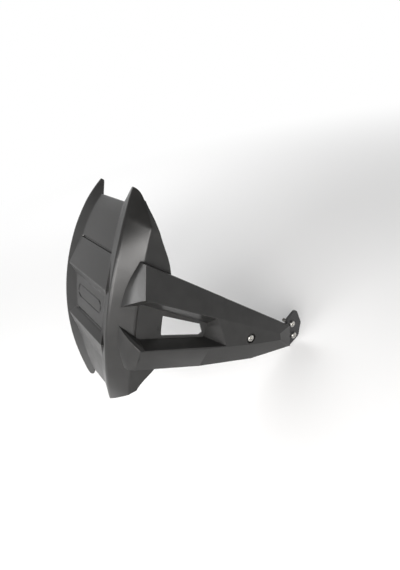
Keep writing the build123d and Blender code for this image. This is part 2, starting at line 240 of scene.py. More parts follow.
@dataclass
class GuardShell:
    """The guard by itself: a channelled sheet curved about its centre, with two raised plates.

    Angles are in degrees, and half widths are measured from the guard's middle plane.
    """

    wall: float = 3.0
    horn_root: float = 48.0
    stations: tuple[Station, ...] = (
        Station(-1.0, (17.0, 320.0), (30.0, 326.0), (74.0, 312.0), (75.0, 309.0)),
        Station(4.0, (20.0, 320.0), (44.0, 326.4), (78.0, 311.0), (79.5, 308.0)),
        Station(8.0, (26.5, 320.0), (53.5, 326.8), (81.0, 309.5), (83.2, 296.0)),
        Station(12.0, (33.0, 320.0), (61.0, 327.2), (84.0, 306.0), (87.0, 270.0)),
        Station(18.0, (39.0, 319.5), (68.0, 327.6), (86.0, 301.5), (88.5, 262.0)),
        Station(24.0, (44.5, 320.0), (71.5, 328.0), (86.5, 299.0), (88.5, 261.0)),
        Station(31.0, (48.0, 321.5), (73.0, 328.8), (86.5, 298.5), (88.5, 261.0)),
        Station(38.0, (47.5, 324.2), (70.8, 330.3), (86.5, 301.0), (88.5, 260.5)),
        Station(42.0, (45.8, 326.0), (68.0, 331.5), (86.5, 304.0), (88.5, 270.5)),
        Station(48.0, (38.7, 327.9), (60.2, 333.6), (85.5, 310.5), (87.0, 299.0)),
        Station(50.0, (35.2, 328.0), (56.2, 334.3), (75.5, 315.0), (77.5, 307.0)),
        Station(52.0, (31.5, 328.0), (51.5, 334.8), (64.0, 322.0), (66.0, 317.0)),
        Station(55.0, (27.0, 328.0), (44.5, 335.0), (48.5, 332.0), (49.5, 330.0)),
    )
    # Raised plates and the grooves at their starts
    upper_plate: Plate = Plate(start=40.0, crest=32.5, end=30.3, half=63.0, rise=7.2)
    lower_plate: Plate = Plate(start=22.0, crest=19.8, end=14.2, half=58.0, rise=8.0)
    plate_sink: float = 0.4
    plate_toe: float = 2.5
    plate_ease: float = 0.6
    plate_side: float = 0.8
    groove_width: float = 2.6
    groove_depth: float = 1.8
    groove_ease: float = 0.5
    # Plain frame between the plates
    frame_angle: float = 27.0
    frame_length: float = 78.0
    frame_height: float = 19.0
    frame_line: float = 2.4
    frame_depth: float = 1.0
    # Cut line of the top, with its two horns
    channel_top: float = 50.8
    channel_top_half: float = 33.0
    horn_top: float = 54.0
    horn_arch: float = 16.0
    horn_fall: float = 8.0
    horn_arch_drop: float = 2.0
    horn_ease: float = 2.0
    horn_inner_half: float = 41.5
    # Cut line of the foot, with its two rails
    channel_foot: float = 4.5
    channel_foot_half: float = 21.0
    rail_foot: float = 1.9
    rail_foot_halves: tuple[float, float] = (28.0, 35.0)
    side_foot: float = 6.8
    side_foot_half: float = 80.0
    foot_ease: float = 5.0
    # Bends across a section, and the rounded rim
    corner_bend: float = 1.6
    crest_bend: float = 4.2
    floor_bend: float = 2.2
    floor_bend_share: float = 0.8
    rim_bulge: float = 1.0
    rim_square: float = 0.6
    rim_steps: int = 5
    # Rows of the sheet: where they run straight across, and how close they lie
    level_rows: tuple[float, float] = (12.0, 45.0)
    end_rows: int = 18
    row_density: float = 1.3
    fine_density: float = 13.0
    fine_spread: float = 0.35
    frame_density: float = 10.0
    density_steps: int = 6000
    trial_rows: int = 200

    def __post_init__(self) -> None:
        """Works out the cubic that joins the stations, and the weights of the columns across a section."""
        rows = [[*s.floor, *s.crest, *s.corner, *s.edge] for s in self.stations]
        self._angles = np.array([s.angle for s in self.stations])
        self._values = np.array(rows)
        self._steps = np.diff(self._angles)[:, None]
        secants = np.diff(self._values, axis=0) / self._steps
        weighed = secants[:-1] * self._steps[1:] + secants[1:] * self._steps[:-1]
        inner = weighed / (self._steps[1:] + self._steps[:-1])
        self._leave = np.vstack([secants[:1], inner])
        self._arrive = np.vstack([inner, secants[-1:]])
        root = int(np.argmin(abs(self._angles - self.horn_root)))
        self._arrive[root - 1] = secants[root - 1]
        self._leave[root] = secants[root]
        self._weights, self._on_plate = self._columns()

    @staticmethod
    def _columns() -> tuple[np.ndarray, np.ndarray]:
        """Lays out the columns of a half section from its free edge to its middle.

        A straight stretch mixes its two end points, and a bend is the quadratic curve that three points draw.

        Returns:
            Each column's weights of the control points, and how much it rises with a plate.
        """
        stretches = [
            ((0, 1), 10),
            ((1, 2, 3), 6),
            ((3, 4), 14),
            ((4, 5, 6), 9),
            ((6, 7), 9),
            ((7, 8), 5),
            ((8, 9), 8),
            ((9, 10, 11), 6),
            ((11, 12), 52),
        ]
        wall_stretch = 5
        control_count = stretches[-1][0][-1] + 1
        weights = []
        rises = []
        for number, (controls, count) in enumerate(stretches):
            t = np.linspace(0.0, 1.0, count, endpoint=number == len(stretches) - 1)
            block = np.zeros((count, control_count))
            if len(controls) == 2:
                block[:, controls] = np.stack([1 - t, t], axis=-1)
            else:
                block[:, controls] = np.stack([(1 - t) ** 2, 2 * t * (1 - t), t**2], axis=-1)
            weights.append(block)
            if number == wall_stretch:
                rises.append(smooth_step(0.0, 1.0, t))
            else:
                rises.append(np.full(count, float(number > wall_stretch)))
        return np.vstack(weights), np.concatenate(rises)

    def lines(self, theta: np.ndarray) -> np.ndarray:
        """Gives the section's lines at any angle, on a cubic that kinks at the horns' root.

        Args:
            theta: angles in degrees, of any shape.

        Returns:
            Half width and radius of floor, crest, corner and edge, on two new last axes.
        """
        span = np.clip(np.searchsorted(self._angles, theta, side="right") - 1, 0, len(self._angles) - 2)
        step = self._steps[span]
        t = (theta - self._angles[span])[..., None] / step
        value = (1 + 2 * t) * (1 - t) ** 2 * self._values[span] + t**2 * (3 - 2 * t) * self._values[span + 1]
        value += t * (1 - t) ** 2 * step * self._leave[span] + t**2 * (t - 1) * step * self._arrive[span]
        return value.reshape(*theta.shape, 4, 2)

    def floor_at(self, angle: float) -> np.ndarray:
        """Gives the channel floor's half width and radius at one angle."""
        return self.lines(np.array([angle]))[0, 0]

    def plate_half(self, theta: np.ndarray) -> np.ndarray:
        """Gives the half width of the raised plates, and elsewhere that of the line that joins their ends."""
        low, high = self.lower_plate, self.upper_plate
        stops = [
            (self.channel_foot, self.rail_foot_halves[0]),
            (low.end, self.floor_at(low.end)[0] + self.plate_toe),
            (low.crest, low.half),
            (low.start, self.floor_at(low.start)[0] + self.plate_toe),
            (high.end, self.floor_at(high.end)[0] + self.plate_toe),
            (high.crest, high.half),
            (high.start, self.floor_at(high.start)[0] + self.plate_toe),
            (self.channel_top, self.horn_inner_half),
        ]
        return np.interp(theta, *zip(*stops))

    def base(self, theta: np.ndarray) -> np.ndarray:
        """Gives the half section without its plates: straight stretches with eased bends.

        Args:
            theta: angles in degrees, with one column for each column of the section.

        Returns:
            Half width and radius, on a new last axis.
        """
        floor, crest, corner, edge = np.moveaxis(self.lines(theta), -2, 0)
        share = (self.plate_half(theta) - floor[..., 0]) / (crest[..., 0] - floor[..., 0])
        side = floor + (crest - floor) * share[..., None]
        rise = unit(crest - floor) * self.plate_side / 2
        middle = floor * np.array([0.0, 1.0])
        controls = [
            toward(edge, corner, self.rim_bulge),
            toward(corner, edge, self.corner_bend),
            corner,
            toward(corner, crest, self.corner_bend),
            toward(crest, corner, self.crest_bend),
            crest,
            toward(crest, floor, self.crest_bend),
            side + rise,
            side - rise,
            toward(floor, side - rise, self.floor_bend, self.floor_bend_share),
            floor,
            toward(floor, middle, self.floor_bend),
            middle,
        ]
        return np.einsum("jk,kijc->ijc", self._weights, np.stack(controls))

    def roof(self, plate: Plate, theta: np.ndarray) -> np.ndarray:
        """Gives a plate's radius: the lower of two straight lines that meet at its crest, eased there.

        A straight line through two points given by angle and radius has the radius
        r0 r1 sin(a1 - a0) / (r0 sin(a - a0) + r1 sin(a1 - a)).

        Args:
            plate: the plate.
            theta: angles in degrees.

        Returns:
            The radius of the plate's top.
        """
        near = np.radians(np.clip(theta, plate.end - self.plate_toe, plate.start + self.plate_toe))
        top = (plate.crest, self.floor_at(plate.crest)[1] + plate.rise)
        sides = []
        for angle in (plate.start, plate.end):
            a0, r0 = np.radians(angle), self.floor_at(angle)[1] - self.plate_sink
            a1, r1 = np.radians(top[0]), top[1]
            across = r0 * np.sin(near - a0) + r1 * np.sin(a1 - near)
            sides.append(r0 * r1 * np.sin(a1 - a0) / across)
        return -soft_max(-sides[0], -sides[1], self.plate_ease)

    def dress(self, theta: np.ndarray, section: np.ndarray) -> np.ndarray:
        """Raises the plates out of a section, and sinks their grooves and the plain frame into it.

        Args:
            theta: angles in degrees.
            section: half width and radius without plates.

        Returns:
            Half width and radius with them.
        """
        half, radius = section[..., 0], section[..., 1].copy()
        for plate in (self.upper_plate, self.lower_plate):
            raised = soft_max(radius, self.roof(plate, theta), self.plate_ease)
            reach = (theta > plate.end - self.plate_toe) & (theta < plate.start + self.plate_toe)
            radius += np.where(reach, self._on_plate * (raised - radius), 0.0)
            start_half = self.floor_at(plate.start)[0]
            out = abs(np.radians(theta - plate.start) * radius) - self.groove_width / 2
            beyond = np.maximum(out, abs(half) - start_half)
            radius -= self.groove_depth * (1 - smooth_step(-self.groove_ease, self.groove_ease, beyond))
        end_radius = self.frame_height / 2
        along = np.maximum(abs(half) - (self.frame_length / 2 - end_radius), 0.0)
        across = np.radians(theta - self.frame_angle) * section[..., 1]
        off_line = abs(np.hypot(along, across) - end_radius + self.frame_line / 2) - self.frame_line / 2
        radius -= self.frame_depth * (1 - smooth_step(-self.groove_ease, self.groove_ease, off_line))
        return np.stack([half, radius], axis=-1)

    @staticmethod
    def _crossing(trial: np.ndarray, over: np.ndarray) -> np.ndarray:
        """Gives the angle in each column where a value first rises past nought."""
        first = np.maximum(np.argmax(over > 0, axis=0), 1)
        column = np.arange(over.shape[1])
        low, high = over[first - 1, column], over[first, column]
        share = np.clip(-low / (high - low), 0.0, 1.0)
        return trial[first - 1] + share * (trial[first] - trial[first - 1])

    def _trial(self, low: float, high: float, level: float) -> tuple[np.ndarray, np.ndarray, np.ndarray]:
        """Lays out close rows near an end, to find where a line drawn on it cuts each column.

        The line is drawn on the plane that lies on the guard at one angle. A point's height on that plane is
        its radius times the sine of its angle past the plane's.

        Args:
            low: angle of the first row.
            high: angle of the last row.
            level: angle of the plane.

        Returns:
            The rows' angles, their sections and the heights of the sections' points.
        """
        trial = np.linspace(low, high, self.trial_rows)
        section = self.base(np.repeat(trial[:, None], len(self._weights), axis=1))
        height = section[..., 1] * np.sin(np.radians(trial - level))[:, None]
        return trial, section, height

    def foot(self) -> np.ndarray:
        """Cuts the foot: level in the channel, down to a rounded tip on each rail, then slanting up outwards.

        Returns:
            The angle at which each column stops.
        """
        floor = self.floor_at(self.channel_foot)[1]
        rail = floor * np.tan(np.radians(self.rail_foot - self.channel_foot))
        side = floor * np.tan(np.radians(self.side_foot - self.channel_foot))
        inner, outer = self.rail_foot_halves
        slant = (side - rail) / (self.side_foot_half - outer)
        trial, section, height = self._trial(self._angles[0], self.level_rows[0], self.channel_foot)
        half = section[..., 0]
        fall = np.maximum(half - self.channel_foot_half, 0.0) / (inner - self.channel_foot_half)
        line = soft_max(fall * rail, rail, self.foot_ease)
        line += np.maximum(half - outer, 0.0) * slant
        return self._crossing(trial, height - line)

    def top(self) -> np.ndarray:
        """Cuts the top: level in the channel, up to each horn, then falling in an arch below its crest.

        Returns:
            The angle at which each column stops.
        """
        horn = self.floor_at(self.channel_top)[1] * np.tan(np.radians(self.horn_top - self.channel_top))
        trial, section, height = self._trial(self.level_rows[1], self._angles[-1], self.channel_top)
        half, radius = section[..., 0], section[..., 1]
        rise = (half - self.channel_top_half) / (self.horn_inner_half - self.channel_top_half)
        line = -soft_max(np.maximum(rise, 0.0) * -horn, -horn, self.horn_ease)
        crest = self.lines(trial)[:, None, 1]
        drop = np.where(half > crest[..., 0], crest[..., 1] - radius, 0.0)
        arch = np.maximum(drop - self.horn_arch_drop, 0.0) ** 2 / self.horn_arch
        line -= np.minimum(arch, self.horn_fall)
        return self._crossing(trial, height - line)

    def rows(self) -> np.ndarray:
        """Lays out the rows: straight across in the middle, and drawn to the cut lines at both ends.

        The straight rows lie closest where the plates turn and on the frame: a density is summed up along the
        guard, and a row stands wherever the sum has grown by about one.

        Returns:
            The angle of each row at each column.
        """
        bulge = np.degrees(self.rim_bulge / self.floor_at(self.channel_foot)[1])
        foot, top = self.foot() + bulge, self.top() - bulge
        low, high = self.level_rows
        fine = np.linspace(low, high, self.density_steps)
        density = np.full_like(fine, self.row_density)
        for plate in (self.upper_plate, self.lower_plate):
            for turn in (plate.start, plate.crest, plate.end):
                density += self.fine_density * np.exp(-(((fine - turn) / self.fine_spread) ** 2))
        frame_reach = np.degrees(self.frame_height / 2 / self.floor_at(self.frame_angle)[1])
        density += self.frame_density * (abs(fine - self.frame_angle) < frame_reach + self.fine_spread)
        total = np.concatenate([[0.0], np.cumsum((density[1:] + density[:-1]) / 2 * np.diff(fine))])
        level = np.interp(np.linspace(0.0, total[-1], int(total[-1])), total, fine)
        share = np.linspace(0.0, 1.0, self.end_rows, endpoint=False)[:, None]
        below = foot + share * (low - foot)
        above = top + share * (high - top)
        straight = np.repeat(level[:, None], len(foot), axis=1)
        return np.vstack([below, straight, above[::-1]])

    @staticmethod
    def _placed(theta: np.ndarray, section: np.ndarray) -> np.ndarray:
        """Turns half sections at their angles into places on both sides, from right to left."""
        angle = np.radians(theta)
        x, radius = section[..., 0], section[..., 1]
        right = np.stack([x, -radius * np.cos(angle), radius * np.sin(angle)], axis=-1)
        left = right[:, -2::-1] * np.array([-1.0, 1.0, 1.0])
        return np.concatenate([right, left], axis=1) + CENTRE

    def build(self) -> bmesh.types.BMesh:
        """Builds the guard's sheet as one closed form.

        The inner face lies one wall inside the plain outer face, along its normal. Each row is a closed ring:
        outer face, rounded rim, inner face and rim again. Both ends close in a rounded lip.

        Returns:
            The form, in millimetres.
        """
        theta = self.rows()
        base = self.base(theta)
        plain = self._placed(theta, base)
        outer = self._placed(theta, self.dress(theta, base))
        normal = unit(np.cross(np.gradient(plain, axis=1), np.gradient(plain, axis=0)))
        middle = plain.shape[1] // 2
        outwards = plain[0, middle] - CENTRE
        normal *= np.sign(normal[0, middle] @ outwards)
        inner = plain - self.wall * normal
        turn = np.pi * np.arange(1, self.rim_steps + 1) / (self.rim_steps + 1)
        left_rim = self._rim(outer[:, -1], inner[:, -1], outer[:, -1] - outer[:, -2], turn)
        right_rim = self._rim(inner[:, 0], outer[:, 0], outer[:, 0] - outer[:, 1], turn)
        rings = np.concatenate([outer, left_rim, inner[:, ::-1], right_rim], axis=1)
        columns = outer.shape[1]
        number = np.arange(rings.shape[1])
        partner = np.concatenate([
            columns + self.rim_steps + number[:columns][::-1],
            columns + number[: self.rim_steps][::-1],
            number[:columns][::-1],
            2 * columns + self.rim_steps + number[: self.rim_steps][::-1],
        ])
        foot = self._lip(rings[0], rings[1], partner)
        top = self._lip(rings[-1], rings[-2], partner)
        rings = np.concatenate([foot[::-1], rings, top])
        faces = ring_faces(*rings.shape[:2])
        return closed_form(rings.reshape(-1, 3), faces.tolist())

    def _rim(self, start: np.ndarray, end: np.ndarray, way: np.ndarray, turn: np.ndarray) -> np.ndarray:
        """Rounds a rim from one face to the other by a squarish half turn that bulges outwards."""
        middle = ((start + end) / 2)[:, None]
        flat = np.sign(np.cos(turn)) * abs(np.cos(turn)) ** self.rim_square
        bulge = np.sin(turn) ** self.rim_square * self.rim_bulge
        return middle + (start[:, None] - middle) * flat[:, None] + unit(way)[:, None] * bulge[:, None]

    def _lip(self, last: np.ndarray, before: np.ndarray, partner: np.ndarray) -> np.ndarray:
        """Closes an end: its ring shrinks by a squarish quarter turn to the line between both faces."""
        turn = np.linspace(0.0, np.pi / 2, self.rim_steps)[1:]
        middle = (last + last[partner]) / 2
        way = unit(middle - (before + before[partner]) / 2)
        flat = (np.cos(turn).clip(0.0) ** self.rim_square)[:, None, None]
        flat[-1] = 0.0
        bulge = (np.sin(turn) ** self.rim_square * self.rim_bulge)[:, None, None]
        return middle + (last - middle) * flat + way * bulge


def offset_line(points: np.ndarray, amount: float) -> np.ndarray:
    """Moves an open line sideways, keeping its stretches parallel.

    Each point moves along the sum of both neighbouring stretches' normals, divided by one plus their product.

    Args:
        points: the line's points, two numbers in a row.
        amount: how far to move it to its right, or to its left when negative.

    Returns:
        The moved points.
    """
    way = unit(np.diff(points, axis=0))
    side = np.stack([way[:, 1], -way[:, 0]], axis=-1)
    before = np.vstack([side[:1], side])
    after = np.vstack([side, side[-1:]])
    mitre = (before + after) / (1 + np.sum(before * after, axis=-1, keepdims=True))
    return points + amount * mitre


def along_line(points: tuple[tuple[float, float], ...], knots: tuple[float, ...]) -> np.ndarray:
    """Gives places along an open line: knot 1.5 lies midway between its second and third points."""
    line = np.array(points)
    numbers = np.arange(len(line))
    return np.stack([np.interp(knots, numbers, line[:, 0]), np.interp(knots, numbers, line[:, 1])], axis=-1)


def at_height(points: np.ndarray, height: float | np.ndarray) -> np.ndarray:
    """Gives flat points a height as their third number."""
    return np.column_stack([points, np.broadcast_to(height, len(points))])


def turned(
    radius: np.ndarray,
    height: np.ndarray,
    place: tuple[float, float],
    hexed: float | np.ndarray = 0.0,
    threaded: float | np.ndarray = 0.0,
    limit: float | np.ndarray = np.inf,
    steps: int = 72,
    pitch: float = 1.0,
) -> bmesh.types.BMesh:
    """Turns a profile about an axis along X, with hexagons and threads where it has them.

    A hexagon's radius is that of its corners times cos 30 / cos(a - 30), with a the angle past a corner.
    A thread takes its depth off in the trough of a wave that climbs one pitch in each turn.

    Args:
        radius: the profile's radius, to the corners where it is a hexagon.
        height: the profile's place along X.
        place: the axis's Y and Z.
        hexed: share of a hexagon, from 0 to 1.
        threaded: depth of the thread.
        limit: largest radius, of a cone that cuts the hexagon's corners.
        steps: points round the axis.
        pitch: the thread's rise in one turn.

    Returns:
        The closed form, in millimetres.
    """
    radius, height, hexed, threaded, limit = np.broadcast_arrays(radius, height, hexed, threaded, limit)
    turn = 2 * np.pi * np.arange(steps) / steps
    flats = np.cos(np.pi / 6) / np.cos(turn % (np.pi / 3) - np.pi / 6)
    size = radius[:, None] * (1 + hexed[:, None] * (flats - 1))
    climb = (height[:, None] / pitch - turn / (2 * np.pi)) % 1.0
    trough = np.clip(TROUGH_PEAK - TROUGH_SLOPE * abs(climb - 0.5), 0.0, 1.0)
    size = np.minimum(size, limit[:, None]) - threaded[:, None] * trough
    across = np.broadcast_to(height[:, None], size.shape)
    points = np.stack([across, place[0] + size * np.cos(turn), place[1] + size * np.sin(turn)], axis=-1)
    return closed_form(points.reshape(-1, 3), ring_faces(*size.shape).tolist())


def bored(form: bmesh.types.BMesh, cutter: bmesh.types.BMesh) -> bmesh.types.BMesh:
    """Cuts one form out of another.

    Args:
        form: what is cut, and is used up.
        cutter: what is taken away, and is used up.

    Returns:
        The form that is left.
    """
    holders = []
    for name, source in (("cut", form), ("cutter", cutter)):
        mesh = bpy.data.meshes.new(name)
        source.to_mesh(mesh)
        source.free()
        holder = bpy.data.objects.new(name, mesh)
        bpy.context.scene.collection.objects.link(holder)
        holders.append(holder)
    cut = holders[0].modifiers.new("cut", "BOOLEAN")
    cut.operation = "DIFFERENCE"
    cut.solver = "EXACT"
    cut.object = holders[1]
    seen = holders[0].evaluated_get(bpy.context.evaluated_depsgraph_get())
    left = bmesh.new()
    left.from_mesh(seen.to_mesh())
    seen.to_mesh_clear()
    for holder in holders:
        mesh = holder.data
        bpy.data.objects.remove(holder)
        bpy.data.meshes.remove(mesh)
    return left


@dataclass(frozen=True)
class ScrewSeat:
    """Where the arm screw goes: its Y and Z, and the heights along X that stack up there."""

    place: tuple[float, float] = (-89.0, 47.5)
    stay_face: float = 4.0
    seat_floor: float = 2.6
    seat_radius: float = 7.6
    boss_radius: float = 9.5
    hole_radius: float = 3.2
    washer_radius: float = 7.2
    washer_thickness: float = 1.2

    @property
    def seat(self) -> float:
        """Gives the height that the washer lies on."""
        return self.stay_face + self.seat_floor

    @property
    def under_head(self) -> float:
        """Gives the height that the screw's head bears on."""
        return self.seat + self.washer_thickness

    def boss(self, top: float) -> bmesh.types.BMesh:
        """Makes the boss under the arm's nose: a ring with a floor that the washer lies on.

        Args:
            top: how high the ring reaches, inside the nose.

        Returns:
            The closed form, in millimetres.
        """
        hole, seat, out = self.hole_radius, self.seat_radius, self.boss_radius
        radius = np.array([hole, out, out, seat, seat, hole, hole])
        low, floor = self.stay_face, self.seat
        height = np.array([low, low, top, top, floor, floor, low])
        return turned(radius, height, self.place)

    def washer(self, ease: float = 0.25) -> bmesh.types.BMesh:
        """Makes the washer: a flat ring with eased edges."""
        low, high = self.seat, self.under_head
        hole, out = self.hole_radius, self.washer_radius
        inner, outer = hole + ease, out - ease
        radius = np.array([hole, inner, outer, out, out, outer, inner, hole, hole])
        under, over = low + ease, high - ease
        height = np.array([under, low, low, under, over, high, high, over, under])
        return turned(radius, height, self.place)


@dataclass
class Arm:
    """The hollow arm moulded on the guard's right.

    Two struts run round an open window to a nose over the stay, and each has a claw on the guard. A place on
    the arm has three numbers: along it from its root, across it upwards, and out from its plane. The outlines
    have the first two, and knots number the places along them.
    """

    root: tuple[float, float, float] = (95.5, -274.0, 140.0)
    fall: float = 37.6
    height: float = 8.5
    depth: float = 11.0
    wall: float = 3.0
    over_stay: float = 7.0
    seat: ScrewSeat = ScrewSeat()
    # Outlines: the rim and flat round the outside, the recess's mouth and floor, its plate and the window
    rim: tuple[tuple[float, float], ...] = (
        (-3.0, 72.0), (277.0, 21.0), (296.0, -13.0), (215.0, -37.5), (120.0, -51.0), (23.0, -58.0),
    )
    flat: tuple[tuple[float, float], ...] = (
        (4.0, 34.0), (250.0, 9.5), (257.0, -1.0), (205.0, -10.0), (120.0, -21.5), (16.8, -30.0),
    )
    mouth: tuple[tuple[float, float], ...] = ((4.0, 32.8), (118.0, 21.45), (150.0, -16.2), (16.8, -28.8))
    floor: tuple[tuple[float, float], ...] = ((5.0, 22.0), (115.0, 7.6), (115.0, -10.2), (13.0, -19.7))
    floor_height: float = -7.5
    floor_rim: tuple[tuple[float, float], ...] = (
        (6.6, 24.0), (11.4, 0.0), (15.7, -21.7), (116.5, -11.8), (116.5, -2.0), (116.5, 9.2),
    )
    window: tuple[tuple[float, float], ...] = (
        (44.0, 12.0), (39.5, -3.5), (51.0, -14.0), (109.0, -9.0), (113.0, -5.0), (105.0, 6.5),
    )
    # Places along the outlines where the struts' sections stand
    rim_knots: tuple[float, ...] = (0.0, 0.463, 0.92, 0.955, 1.0, 2.0, 2.06, 2.12, 3.0, 3.647, 4.0, 5.0)
    mouth_knots: tuple[float, ...] = (0.0, 1.0, 1.2, 1.25, 1.35, 1.6, 1.65, 1.7, 1.9, 2.0, 2.225, 3.0)
    # Knots between which the skirt stops short for the stay
    stay_gap: tuple[float, float] = (0.94, 2.1)
    stay_gap_height: float = -2.0
    recess_wall: float = 2.6
    flat_reach: float = 2.0
    # Thicknesses as shares of the wall: under the rim, under the flat and over the boss
    rim_share: float = 0.8
    flat_share: float = 1.1
    boss_share: float = 0.75
    # Claws: their lines on the guard, from its centre
    upper_claw: tuple[tuple[float, float, float], ...] = (
        (78.5, -273.7, 157.2), (80.0, -261.0, 175.1), (82.0, -251.4, 185.6), (85.0, -234.1, 200.7),
    )
    lower_claw: tuple[tuple[float, float, float], ...] = (
        (78.0, -283.9, 137.3), (79.0, -292.3, 120.4), (82.0, -297.1, 101.3), (84.0, -299.4, 83.2),
    )
    claw_lap: float = 6.0
    claw_depth: float = 9.0
    claw_crown: float = 1.8
    crown_rows: int = 5
    # Rounded edges: width, faces across, and the least turn in degrees of an edge that is rounded
    crease_round: float = 0.5
    crease_steps: int = 2
    crease_angle: float = 8.0
    window_angle: float = 40.0
    rim_round: float = 1.2
    rim_steps: int = 3
    claw_round: float = 0.9
    claw_steps: int = 3
    claw_angle: float = 12.0
    # Faces of a claw that turn by fewer degrees than this are one face
    claw_flatness: float = 2.0

    def __post_init__(self) -> None:
        """Works out the arm's axes: it falls forwards, and splays out until its nose is over the stay."""
        fall = np.radians(self.fall)
        down = np.array([0.0, np.cos(fall), -np.sin(fall)])
        side = np.array([1.0, 0.0, 0.0])
        self._origin = CENTRE + self.root
        reach = np.array([self.seat.stay_face + self.over_stay, *self.seat.place]) - self._origin
        run = reach @ down
        splay = np.arccos(self.height / np.hypot(run, reach[0])) - np.arctan2(run, reach[0])
        along = down * np.cos(splay) + side * np.sin(splay)
        out = side * np.cos(splay) - down * np.sin(splay)
        self._axes = np.stack([along, np.cross(out, along), out])

    def _placed(self, form: bmesh.types.BMesh) -> bmesh.types.BMesh:
        """Moves a form from the arm's own axes into the part's frame."""
        turn = Matrix(self._axes.T.tolist()).to_4x4()
        bmesh.ops.transform(form, matrix=Matrix.Translation(self._origin.tolist()) @ turn, verts=form.verts)
        return form

    @staticmethod
    def _on_rim(form: bmesh.types.BMesh) -> list[bmesh.types.BMEdge]:
        """Gives the edges that lie in the arm's plane, where its rim runs."""
        return [edge for edge in form.edges if all(abs(v.co.z) < MERGE_DISTANCE for v in edge.verts)]

    def struts(self) -> bmesh.types.BMesh:
        """Builds both struts and the nose: one hollow section, open below, swept round the window.

        Returns:
            The closed form with its edges rounded and the screw's seat bored through, in millimetres.
        """
        rim, flat = along_line(self.rim, self.rim_knots), along_line(self.flat, self.rim_knots)
        mouth, floor = along_line(self.mouth, self.mouth_knots), along_line(self.floor, self.mouth_knots)
        knots = np.array(self.rim_knots)
        over_stay = (knots > self.stay_gap[0]) & (knots < self.stay_gap[1])
        skirt = np.where(over_stay, self.stay_gap_height, -self.depth)
        ceiling = np.where(over_stay, self.stay_gap_height / 2, -self.rim_share * self.wall)
        below = self.floor_height - self.wall
        rings = np.stack([
            at_height(rim, skirt),
            at_height(rim, 0.0),
            at_height(flat, self.height),
            at_height(mouth, self.height),
            at_height(floor, below),
            at_height(offset_line(floor, -self.recess_wall), below),
            at_height(offset_line(mouth, -self.recess_wall), self.height - self.wall),
            at_height(offset_line(flat, -self.flat_reach), self.height - self.flat_share * self.wall),
            at_height(offset_line(rim, self.wall), ceiling),
            at_height(offset_line(rim, self.wall), skirt),
        ], axis=1)
        rows, columns = rings.shape[:2]
        last = (rows - 1) * columns
        caps = [list(range(columns)), list(range(last, last + columns))]
        form = closed_form(rings.reshape(-1, 3), ring_faces(rows, columns).tolist() + caps)
        on_rim = self._on_rim(form)
        creases = [edge for edge in sharp_edges(form, self.crease_angle) if edge not in on_rim]
        round_edges(form, creases, self.crease_round, self.crease_steps)
        round_edges(form, self._on_rim(form), self.rim_round, self.rim_steps)
        form = self._placed(form)
        top = self.seat.stay_face + 2 * self.over_stay
        drill = np.array([0.0, self.seat.seat_radius, self.seat.seat_radius, 0.0])
        cutter = turned(drill, np.array([self.seat.seat, self.seat.seat, top, top]), self.seat.place)
        return bored(form, cutter)

    def window_floor(self) -> bmesh.types.BMesh:
        """Builds the recess's floor: a plate round the window.

        Returns:
            The closed form, in millimetres.
        """
        rim, window = np.array(self.floor_rim), np.array(self.window)
        high, low = self.floor_height, self.floor_height - self.wall
        rings = np.stack([
            at_height(rim, high),
            at_height(window, high),
            at_height(window, low),
            at_height(rim, low),
            at_height(rim, high),
        ])
        form = closed_form(rings.reshape(-1, 3), ring_faces(*rings.shape[:2]).tolist())
        round_edges(form, sharp_edges(form, self.window_angle), self.crease_round, self.crease_steps)
        return self._placed(form)

    def claw(self, tips: tuple[tuple[float, float, float], ...], end: int) -> bmesh.types.BMesh:
        """Builds one claw: the hull of its line on the guard and the end of its strut.

        Args:
            tips: places of its line on the guard, from the guard's centre.
            end: which end of the strut's outlines it joins, 0 or -1.

        Returns:
            The closed form, in millimetres.
        """
        step = 1 if end == 0 else -1
        places = []
        for line, height in (
            (self.rim, 0.0),
            (self.rim, -self.claw_depth),
            (self.flat, self.height),
            (self.mouth, self.height),
            (self.floor, -self.claw_depth),
        ):
            start = np.array(line[end])
            lap = start + unit(np.array(line[end + step]) - start) * self.claw_lap
            places += [[*start, height], [*lap, height]]
        strut = self._origin + np.array(places) @ self._axes
        line = CENTRE + np.array(tips)
        points = np.vstack([strut, line, self._crown(line, strut[[4, 0]])])
        form = bmesh.new()
        for point in points.tolist():
            form.verts.new(point)
        made = bmesh.ops.convex_hull(form, input=form.verts)
        within = made["geom_interior"] + made["geom_unused"]
        spare = {item for item in within if isinstance(item, bmesh.types.BMVert)}
        bmesh.ops.delete(form, geom=list(spare), context="VERTS")
        flatness = np.radians(self.claw_flatness)
        bmesh.ops.dissolve_limit(form, angle_limit=flatness, verts=form.verts, edges=form.edges)
        round_edges(form, sharp_edges(form, self.claw_angle), self.claw_round, self.claw_steps)
        return form

    def _crown(self, line: np.ndarray, end: np.ndarray) -> np.ndarray:
        """Crowns a claw's broad face: points between its line and its strut's end, raised most midway.

        Args:
            line: places of the claw's line on the guard.
            end: the edge of the strut's end that the face runs to.

        Returns:
            The raised points, by 4 s (1 - s) of the crown at a share s of the way.
        """
        share = np.linspace(0.0, 1.0, self.crown_rows + 2)[1:-1, None, None]
        across = np.linspace(0.0, 1.0, len(line))[:, None]
        goal = end[0] + (end[1] - end[0]) * across
        out = unit(np.cross(end[1] - end[0], goal.mean(axis=0) - line.mean(axis=0)))
        out *= np.sign(out[0])
        raised = line + (goal - line) * share + 4 * share * (1 - share) * self.claw_crown * out
        return raised.reshape(-1, 3)

    def build(self) -> list[bmesh.types.BMesh]:
        """Builds the arm's forms.

        Returns:
            Struts, window floor, both claws and the screw's boss, in millimetres.
        """
        boss_top = self.seat.stay_face + self.over_stay - self.boss_share * self.wall
        claws = [self.claw(self.upper_claw, 0), self.claw(self.lower_claw, -1)]
        return [self.struts(), self.window_floor(), *claws, self.seat.boss(boss_top)]


